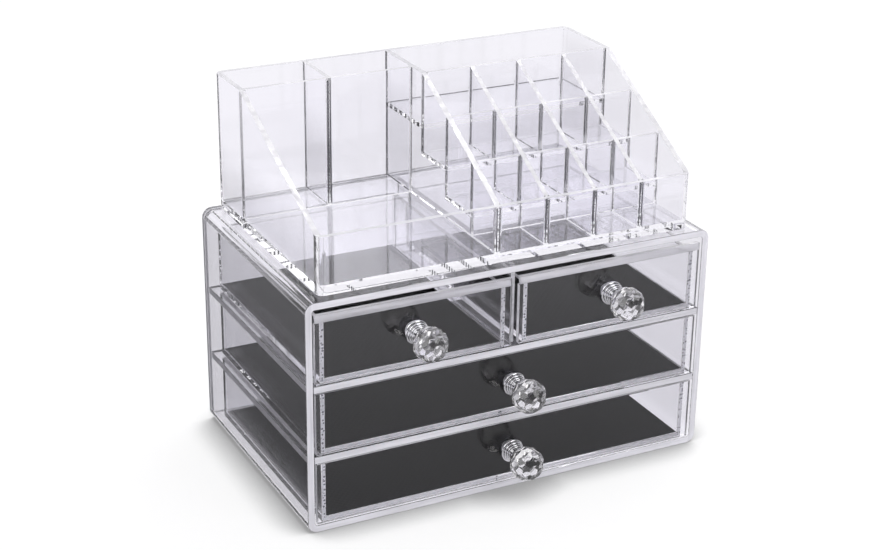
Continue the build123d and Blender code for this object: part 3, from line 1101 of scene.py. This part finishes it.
# ---------------------------------------------------------------- tray
@dataclass
class Tray:
    """The lift-off tray: moulded shell, tall bins, open tray and three rows of slots."""

    finishes: Finishes
    wall: float = 3.0
    floor: float = 5.0
    outer_radius: float = 4.5
    inner_radius: float = 1.5
    front_height: float = 31.5
    rim_step: float = 0.6
    corner_fillet: float = 0.8
    reach: float = 3.0
    dividers: Sequence[str] = ("slot_divider_1", "slot_divider_2", "slot_divider_3")
    walls: dict[str, tuple[Vector, Vector]] = field(default_factory=dict)

    def build(self) -> Object:
        """Build the tray's clear solid.

        Returns:
            The piece.
        """
        for name in ("shell", "centre_wall", "bins_front_wall", "bin_divider", "rear_wall", "rear_floor",
                     "first_row_floor", "second_row_floor", "middle_row_wall", "front_row_wall",
                     *self.dividers):
            self.walls[name] = corners(f"tray_{name}")
        low, high = self.walls["shell"]
        shell = block((low.x, low.y, low.z + 2 * AIR_FILM), high, upright=self.outer_radius, steps=8)
        return ClearSolid(
            "tray_clear_shell", tuple(f"tray_{name}" for name in self.walls), "tray", Slot.TRAY,
            self.finishes.clear(self.finishes.tray), shell,
            cuts=[self.bins(), self.slots(), *self.slopes()], seams=self.seams(),
            fillet=self.corner_fillet,
        ).build()

    def inside(self) -> tuple[Vector, Vector]:
        """The room inside the shell, which is open above.

        Returns:
            Its lowest and highest corner, mm.
        """
        low, high = self.walls["shell"]
        return (Vector((low.x + self.wall, low.y + self.wall, low.z + self.floor)),
                Vector((high.x - self.wall, high.y - self.wall, high.z + self.reach)))

    def middle(self, name: str) -> Vector:
        """The middle of a wall, in mm."""
        return (self.walls[name][0] + self.walls[name][1]) / 2

    def rim(self) -> float:
        """Height of the front wall's rim, in mm."""
        return self.walls["shell"][0].z + self.front_height

    def bins(self) -> list[Object]:
        """The two tall bins and the open tray before them.

        Returns:
            Working objects to cut.
        """
        low, high = self.inside()
        front, split = self.walls["bins_front_wall"], self.walls["bin_divider"]
        right = self.walls["centre_wall"][0].x
        radius = self.inner_radius
        return [
            block(low, (right, front[0].y, high.z), upright=radius, only=lambda point: point.y < 0, steps=4),
            block((low.x, front[1].y, low.z), (split[0].x, high.y, high.z), upright=radius,
                  only=lambda point: point.x < split[0].x - 9, steps=4),
            block((split[1].x, front[1].y, low.z), (right, high.y, high.z)),
        ]

    def slots(self) -> list[Object]:
        """The rear trough, the closed room under the stepped floors and the four columns of slots.

        Returns:
            Working objects to cut.
        """
        low, high = self.inside()
        left = self.walls["centre_wall"][1].x
        rear, rear_floor = self.walls["rear_wall"], self.walls["rear_floor"]
        first, second = self.walls["first_row_floor"], self.walls["second_row_floor"]
        middle, front = self.walls["middle_row_wall"], self.walls["front_row_wall"]
        room = ((front[1].y, low.z), (high.y, low.z), (high.y, rear_floor[0].z),
                (rear[1].y, rear_floor[0].z), (rear[1].y, first[0].z), (middle[1].y, first[0].z),
                (middle[1].y, second[0].z), (front[1].y, second[0].z))
        front_rim, middle_rim = front[1].z - self.rim_step, middle[1].z - self.rim_step
        steps = ((low.y, low.z), (front[0].y, low.z), (front[0].y, front_rim), (front[1].y, front_rim),
                 (front[1].y, second[1].z), (middle[0].y, second[1].z), (middle[0].y, middle_rim),
                 (middle[1].y, middle_rim), (middle[1].y, first[1].z), (rear[0].y, first[1].z),
                 (rear[0].y, high.z), (low.y, high.z))
        sides = [left, *(end.x for name in self.dividers for end in self.walls[name]), high.x]
        return [
            block((left, rear[1].y, rear_floor[1].z), high),
            profile_block(room, left, high.x),
            *(profile_block(steps, *pair) for pair in zip(sides[::2], sides[1::2])),
        ]

    def slopes(self) -> list[list[Object]]:
        """What the low front and the sloping sides take off.

        Returns:
            Groups of working objects to cut, one after another.
        """
        low, high = self.walls["shell"]
        front_y, rim_z = self.inside()[0].y, self.rim()
        split_x = self.walls["centre_wall"][0].x - 0.5
        far = self.reach
        return [
            [profile_block(((low.y - far, rim_z), (front_y, rim_z), (flat_y, high.z), (flat_y, high.z + far),
                            (low.y - far, high.z + far)), x_low, x_high)]
            for x_low, x_high, flat_y in ((low.x - far, split_x, self.walls["bins_front_wall"][0].y),
                                          (split_x, high.x + far, self.walls["rear_wall"][0].y))
        ]

    def seams(self) -> list[Seam]:
        """Joints at the tray's corners and walls.

        Returns:
            The joints, in the order in which their bubbles draw their sizes.
        """
        low, high = self.walls["shell"]
        front_y, rim_z = self.inside()[0].y, self.rim()
        walls, foot = self.walls, low.z + self.floor
        rim, top, above = rim_z - 1.5, high.z - 1.5, foot + 1
        first, second = walls["first_row_floor"][1].z, walls["second_row_floor"][1].z
        centre, divider = walls["centre_wall"], walls["bin_divider"]
        centre_x, slots = self.middle("centre_wall").x, [self.middle(name).x for name in self.dividers]
        across, along, corner = (0.85, 0.22, 0.45), (0.22, 0.85, 0.45), self.wall * 0.62
        found = []
        for x in (low.x + corner, high.x - corner):
            found += [Seam(x, low.y + corner, foot, rim, (0.55, 0.55, 0.45), 1.8),
                      Seam(x, high.y - corner, foot, top, (0.5, 0.5, 0.45))]
        found += [Seam(x, front_y - 0.1, above, rim, across, 1.8) for x in (centre_x, *slots)]
        found += [Seam(x, walls["rear_wall"][0].y, first + 1, high.z - 2, across) for x in slots]
        for row, front_foot, back_foot in (("front_row_wall", foot, second),
                                           ("middle_row_wall", second, first)):
            row_low, row_high = walls[row]
            found += [Seam(x, y, z + 1, row_high.z - 1.5, across) for x in slots
                      for y, z in ((row_low.y + 0.1, front_foot), (row_high.y - 0.1, back_foot))]
        for name in ("rear_wall", "middle_row_wall", "front_row_wall"):
            found += [Seam(x, self.middle(name).y, walls[name][0].z + 2, walls[name][1].z - 1.5, along)
                      for x in (centre[1].x, high.x - self.wall)]
        found += [Seam(x, self.middle("bins_front_wall").y, above, top, along)
                  for x in (low.x + self.wall, centre[0].x)]
        found += [Seam(self.middle("bin_divider").x, end.y, above, top, across) for end in divider]
        return [*found, Seam(centre_x, high.y - self.wall, above, top, across)]


# ---------------------------------------------------------------- studio
@dataclass
class Studio:
    """Pale floor, white surround, soft lamps and the photograph's camera.

    The sizes are metres. The floor and the surround are graded only for reflected rays: a pair ending in
    _x, _y or _z is where a grade begins and ends, and the _light or _more after it is what it goes to.
    """

    eye: Point = (-0.4469, -0.8607, 0.5122)
    azimuth: float = -26.961
    elevation: float = 23.223
    roll: float = 0.707
    lens: float = 78.28
    floor_size: float = 8.0
    floor_drop: float = 0.0002
    floor_matt: Colour = (0.93, 0.93, 0.93)
    floor_mirrored: Colour = (0.97, 0.96, 1.0)
    floor_white: float = 0.97
    front_y: Pair = (-0.085, -0.075)
    ahead_y: Pair = (-0.09, -0.32)
    ahead_light: Pair = (0.47, 0.70)
    far_ahead_y: Pair = (-0.33, -0.36)
    far_ahead_more: float = 0.3
    side_x: Pair = (-0.1195, -0.1225)
    left_x: Pair = (-0.12, -0.24)
    left_light: Pair = (0.08, 0.24)
    far_left_x: Pair = (-0.24, -0.28)
    far_left_more: float = 0.73
    # Painted shade: what is seen after two reflections is dimmed to this share, which darkens the knobs'
    # mirror images.
    twice_mirrored: float = 0.15
    # Painted contact shadow on the floor: its reach, the occlusion range read and its darkest value.
    painted_shadow_reach: float = 0.03
    painted_shadow_open: Pair = (0.45, 0.84)
    painted_shadow_dark: float = 0.25
    shown_light: float = 1.06
    shown_share: float = 0.72
    air_mirrored: Colour = (0.97, 0.965, 1.0)
    camera_side_y: Pair = (-0.10, -0.35)
    camera_side_light: float = 0.05
    rear_y: Pair = (0.0, 0.1)
    overhead_z: Pair = (0.50, 0.95)
    lamp_power: float = 6.5
    ambient: float = 0.85

    def build(self) -> None:
        """Set the stage."""
        self.camera()
        self.floor()
        self.world()
        self.lamps()
        scene = bpy.context.scene
        scene.view_settings.view_transform = "Standard"
        scene.cycles.max_bounces = 40
        scene.cycles.transmission_bounces = 40
        scene.cycles.glossy_bounces = 40
        scene.cycles.diffuse_bounces = 3
        scene.cycles.transparent_max_bounces = 12

    def camera(self) -> None:
        """Place the camera where the photograph was taken from."""
        turn, tilt, roll = (math.radians(v) for v in (self.azimuth, self.elevation, self.roll))
        forward = Vector((-math.sin(turn) * math.cos(tilt), math.cos(turn) * math.cos(tilt),
                          -math.sin(tilt)))
        level = forward.cross(Vector((0, 0, 1))).normalized()
        above = level.cross(forward)
        right = level * math.cos(roll) + above * math.sin(roll)
        up = above * math.cos(roll) - level * math.sin(roll)
        data = bpy.data.cameras.new("photo_camera")
        data.sensor_width = 36.0
        data.lens = self.lens
        data.clip_start, data.clip_end = 0.01, 50.0
        camera = bpy.data.objects.new("photo_camera", data)
        bpy.context.scene.collection.objects.link(camera)
        axes = Matrix((right, up, -forward)).transposed().to_4x4()
        camera.matrix_world = Matrix.Translation(self.eye) @ axes
        bpy.context.scene.camera = camera

    def floor(self) -> None:
        """A wide pale floor just under the base, which keeps a soft shadow, deepened by a painted contact
        shadow.
        """
        shape = bmesh.new()
        bmesh.ops.create_grid(shape, x_segments=1, y_segments=1, size=self.floor_size / 2)
        bmesh.ops.translate(shape, vec=(0, 0, -self.floor_drop), verts=shape.verts)
        floor = new_object("studio_floor", shape)
        material = bpy.data.materials.new("studio_floor_white")
        material.use_nodes = True
        material.node_tree.nodes.clear()
        nodes = Nodes(material.node_tree)
        path = nodes.add("ShaderNodeLightPath").outputs
        # Painted shadow: an occlusion node darkens the floor's glow near the cabinet.
        near = nodes.add("ShaderNodeAmbientOcclusion", Distance=self.painted_shadow_reach).outputs["AO"]
        painted_contact_shadow = nodes.span(near, *self.painted_shadow_open, self.painted_shadow_dark, 1.0)
        light = nodes.maths("MULTIPLY", painted_contact_shadow, self.shown_light)
        matt = nodes.add("ShaderNodeBsdfDiffuse", Color=self.floor_matt).outputs[0]
        shown = nodes.add("ShaderNodeEmission", Color=(1.0, 1.0, 1.0), Strength=light).outputs[0]
        seen = nodes.add("ShaderNodeEmission", Color=self.floor_mirrored,
                         Strength=self.floor_light(nodes, path["Glossy Depth"])).outputs[0]
        direct = nodes.mix(nodes.maths("MULTIPLY", path["Is Camera Ray"], self.shown_share), matt, shown)
        glass = nodes.maths("MAXIMUM", path["Is Glossy Ray"], path["Is Transmission Ray"])
        first = nodes.maths("LESS_THAN", path["Diffuse Depth"], 0.5)
        whole = nodes.mix(nodes.maths("MULTIPLY", glass, first), direct, seen)
        nodes.add("ShaderNodeOutputMaterial", Surface=whole)
        floor.data.materials.append(material)

    def floor_light(self, nodes: Nodes, mirrors: NodeSocket) -> NodeSocket:
        """How bright the floor is seen in or through the pieces.

        Args:
            nodes: The floor's node helper.
            mirrors: How many reflections the ray has been through.

        Returns:
            The brightness: white, but in reflections darker ahead and to the left of the cabinet, as painted
                shade.
        """
        place = nodes.add("ShaderNodeTexCoord").outputs["Object"]
        x, y = nodes.axis(place, "X"), nodes.axis(place, "Y")
        # Painted shade in reflections: the floor is seen darker ahead of and beside the cabinet, and darker
        # still after two reflections.
        ahead = nodes.maths("ADD", nodes.span(y, *self.ahead_y, *self.ahead_light),
                            nodes.span(y, *self.far_ahead_y, 0.0, self.far_ahead_more))
        once = nodes.maths("MULTIPLY", ahead, nodes.span(mirrors, 1.0, 2.0, 1.0, self.twice_mirrored))
        under = nodes.span(y, *self.front_y)
        front = nodes.maths("MINIMUM", nodes.maths("ADD", once, under), self.floor_white)
        side = nodes.maths("ADD", nodes.span(x, *self.left_x, *self.left_light),
                           nodes.span(x, *self.far_left_x, 0.0, self.far_left_more))
        graded = nodes.between(nodes.span(x, *self.side_x), front, side)
        return nodes.between(nodes.maths("GREATER_THAN", mirrors, 0.5), self.floor_white, graded)

    def world(self) -> None:
        """White all round; in reflections dark behind the camera, as in a studio."""
        world = bpy.data.worlds.new("studio_surround")
        bpy.context.scene.world = world
        world.use_nodes = True
        world.node_tree.nodes.clear()
        nodes = Nodes(world.node_tree)
        way = nodes.add("ShaderNodeTexCoord").outputs["Generated"]
        ahead = nodes.axis(way, "Y")
        path = nodes.add("ShaderNodeLightPath").outputs
        away = nodes.span(ahead, *self.camera_side_y, 1.0, self.camera_side_light)
        overhead = nodes.span(nodes.axis(way, "Z"), *self.overhead_z)
        # Painted shade: the surround seen after two reflections is dimmed.
        once = nodes.span(path["Glossy Depth"], 1.0, 2.0, 1.0, self.twice_mirrored)
        dimmed = nodes.maths("MAXIMUM", once, nodes.span(ahead, *self.rear_y))
        mirrored = nodes.maths("MULTIPLY", nodes.maths("MAXIMUM", away, overhead), dimmed)
        air = nodes.between(nodes.maths("GREATER_THAN", path["Glossy Depth"], 0.5), 1.0, mirrored)
        first = nodes.maths("LESS_THAN", path["Diffuse Depth"], 0.5)
        strength = nodes.maths("MAXIMUM", nodes.between(first, self.ambient, air), path["Is Camera Ray"])
        tint = nodes.blend(path["Is Camera Ray"], self.air_mirrored, (1.0, 1.0, 1.0))
        shine = nodes.add("ShaderNodeBackground", Color=tint, Strength=strength)
        nodes.add("ShaderNodeOutputWorld", Surface=shine.outputs[0])

    def lamps(self) -> None:
        """A broad lamp behind on the right, and weaker ones on the left and in front."""
        for name, spot, size, power in (
            ("key_softbox", (0.75, 0.55, 1.15), 1.0, self.lamp_power),
            ("fill_softbox", (-1.0, -0.35, 0.95), 0.8, self.lamp_power * 0.5),
            ("front_softbox", (0.55, -1.1, 0.9), 0.6, self.lamp_power * 0.4),
        ):
            data = bpy.data.lights.new(name, "AREA")
            data.shape = "SQUARE"
            data.size = size
            data.energy = power
            lamp = bpy.data.objects.new(name, data)
            bpy.context.scene.collection.objects.link(lamp)
            lamp.location = spot
            lamp.rotation_euler = (Vector((0, 0, 0.08)) - Vector(spot)).to_track_quat("-Z", "Y").to_euler()


def main() -> None:
    """Build the studio and every piece in order, and report each."""
    logging.basicConfig(level=logging.INFO, format="%(message)s")
    Studio().build()
    finishes = Finishes.make()
    pieces = [Cabinet(finishes).build()]
    for name in ("lower", "middle", "upper_left", "upper_right"):
        pieces += Drawer(name, finishes).build()
    pieces.append(Tray(finishes).build())
    for piece in pieces:
        LOG.info("%s: %d faces", piece.name, len(piece.data.polygons))


if __name__ == "__main__":
    main()
